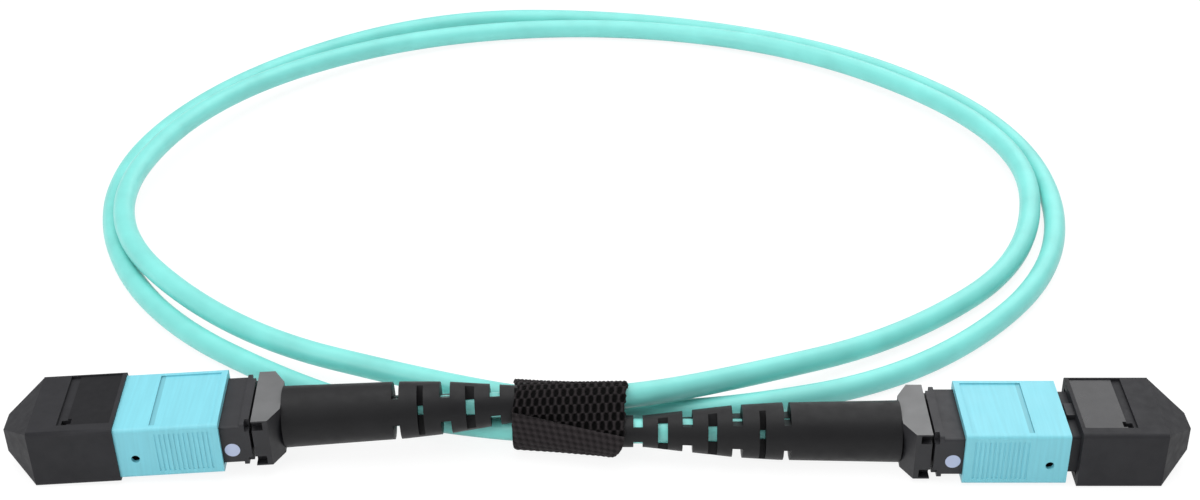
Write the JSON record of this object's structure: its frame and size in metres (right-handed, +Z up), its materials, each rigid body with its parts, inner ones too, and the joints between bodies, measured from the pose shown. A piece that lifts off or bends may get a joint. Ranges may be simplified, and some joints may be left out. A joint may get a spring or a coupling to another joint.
{
  "type": "multi-fibre push-on patch cord",
  "caption": "Coiled aqua fibre patch cord with a rectangular push-on plug, boot and dust cap at each end, bound by a hook-and-loop strap.",
  "frame": {"origin": "on the surface the cord lies on, below the middle of the plugs, boots and strap", "axes": "+X from the left plug to the right plug, +Y towards the loop of the cable, +Z up"},
  "size_m": [0.1536, 0.1404, 0.0099],
  "materials": {
    "cap_plastic": "satin, finely grained",
    "housing_plastic": "satin",
    "sleeve_plastic": "satin, pearly",
    "boot_rubber": "matte",
    "ferrule_plastic": "polished end face",
    "ferrule_boot_rubber": "matte",
    "seat_plastic": "plain",
    "spring_steel": "bright wire",
    "crimp_metal": "plated",
    "ribbon_coating": "clear coated",
    "jacket": "satin",
    "strap_fabric": "knitted loop"
  },
  "bodies": {
    "cord": {"inner_housing_left": "housing_plastic", "rear_body_left": "housing_plastic", "crimp_ring_left": "crimp_metal", "strain_relief_boot_left": "boot_rubber", "fibre_ribbon_left": "ribbon_coating", "main_spring_left": "spring_steel", "sleeve_springs_left": "spring_steel", "inner_housing_right": "housing_plastic", "rear_body_right": "housing_plastic", "crimp_ring_right": "crimp_metal", "strain_relief_boot_right": "boot_rubber", "fibre_ribbon_right": "ribbon_coating", "main_spring_right": "spring_steel", "sleeve_springs_right": "spring_steel", "cable": "jacket", "strap": "strap_fabric"},
    "cap_left": {"dust_cap_left": "cap_plastic"},
    "sleeve_left": {"coupling_sleeve_left": "sleeve_plastic"},
    "ferrule_group_left": {"ferrule_left": "ferrule_plastic", "ferrule_boot_left": "ferrule_boot_rubber", "spring_seat_left": "seat_plastic"},
    "cap_right": {"dust_cap_right": "cap_plastic"},
    "sleeve_right": {"coupling_sleeve_right": "sleeve_plastic"},
    "ferrule_group_right": {"ferrule_right": "ferrule_plastic", "ferrule_boot_right": "ferrule_boot_rubber", "spring_seat_right": "seat_plastic"}
  },
  "joints": [
    {"name": "cap_pull_left", "type": "slide", "parent": "cord", "child": "cap_left", "axis": [-0.9984, -0.0384, -0.0419], "range_m": [0, 0.022]},
    {"name": "sleeve_slide_left", "type": "slide", "parent": "cord", "child": "sleeve_left", "axis": [0.9984, 0.0384, 0.0419], "range_m": [0, 0.002], "stiffness_N_per_m": 900, "springref_m": -0.003, "deforming": ["sleeve_springs_left"]},
    {"name": "ferrule_float_left", "type": "slide", "parent": "cord", "child": "ferrule_group_left", "axis": [0.9984, 0.0384, 0.0419], "range_m": [0, 0.0006], "stiffness_N_per_m": 1500, "springref_m": -0.006, "deforming": ["main_spring_left"]},
    {"name": "cap_pull_right", "type": "slide", "parent": "cord", "child": "cap_right", "axis": [1, 0, 0], "range_m": [-0.0013, 0.022]},
    {"name": "sleeve_slide_right", "type": "slide", "parent": "cord", "child": "sleeve_right", "axis": [-1, 0, 0], "range_m": [0, 0.002], "stiffness_N_per_m": 900, "springref_m": -0.003, "deforming": ["sleeve_springs_right"]},
    {"name": "ferrule_float_right", "type": "slide", "parent": "cord", "child": "ferrule_group_right", "axis": [-1, 0, 0], "range_m": [0, 0.0006], "stiffness_N_per_m": 1500, "springref_m": -0.006, "deforming": ["main_spring_right"]}
  ]
}
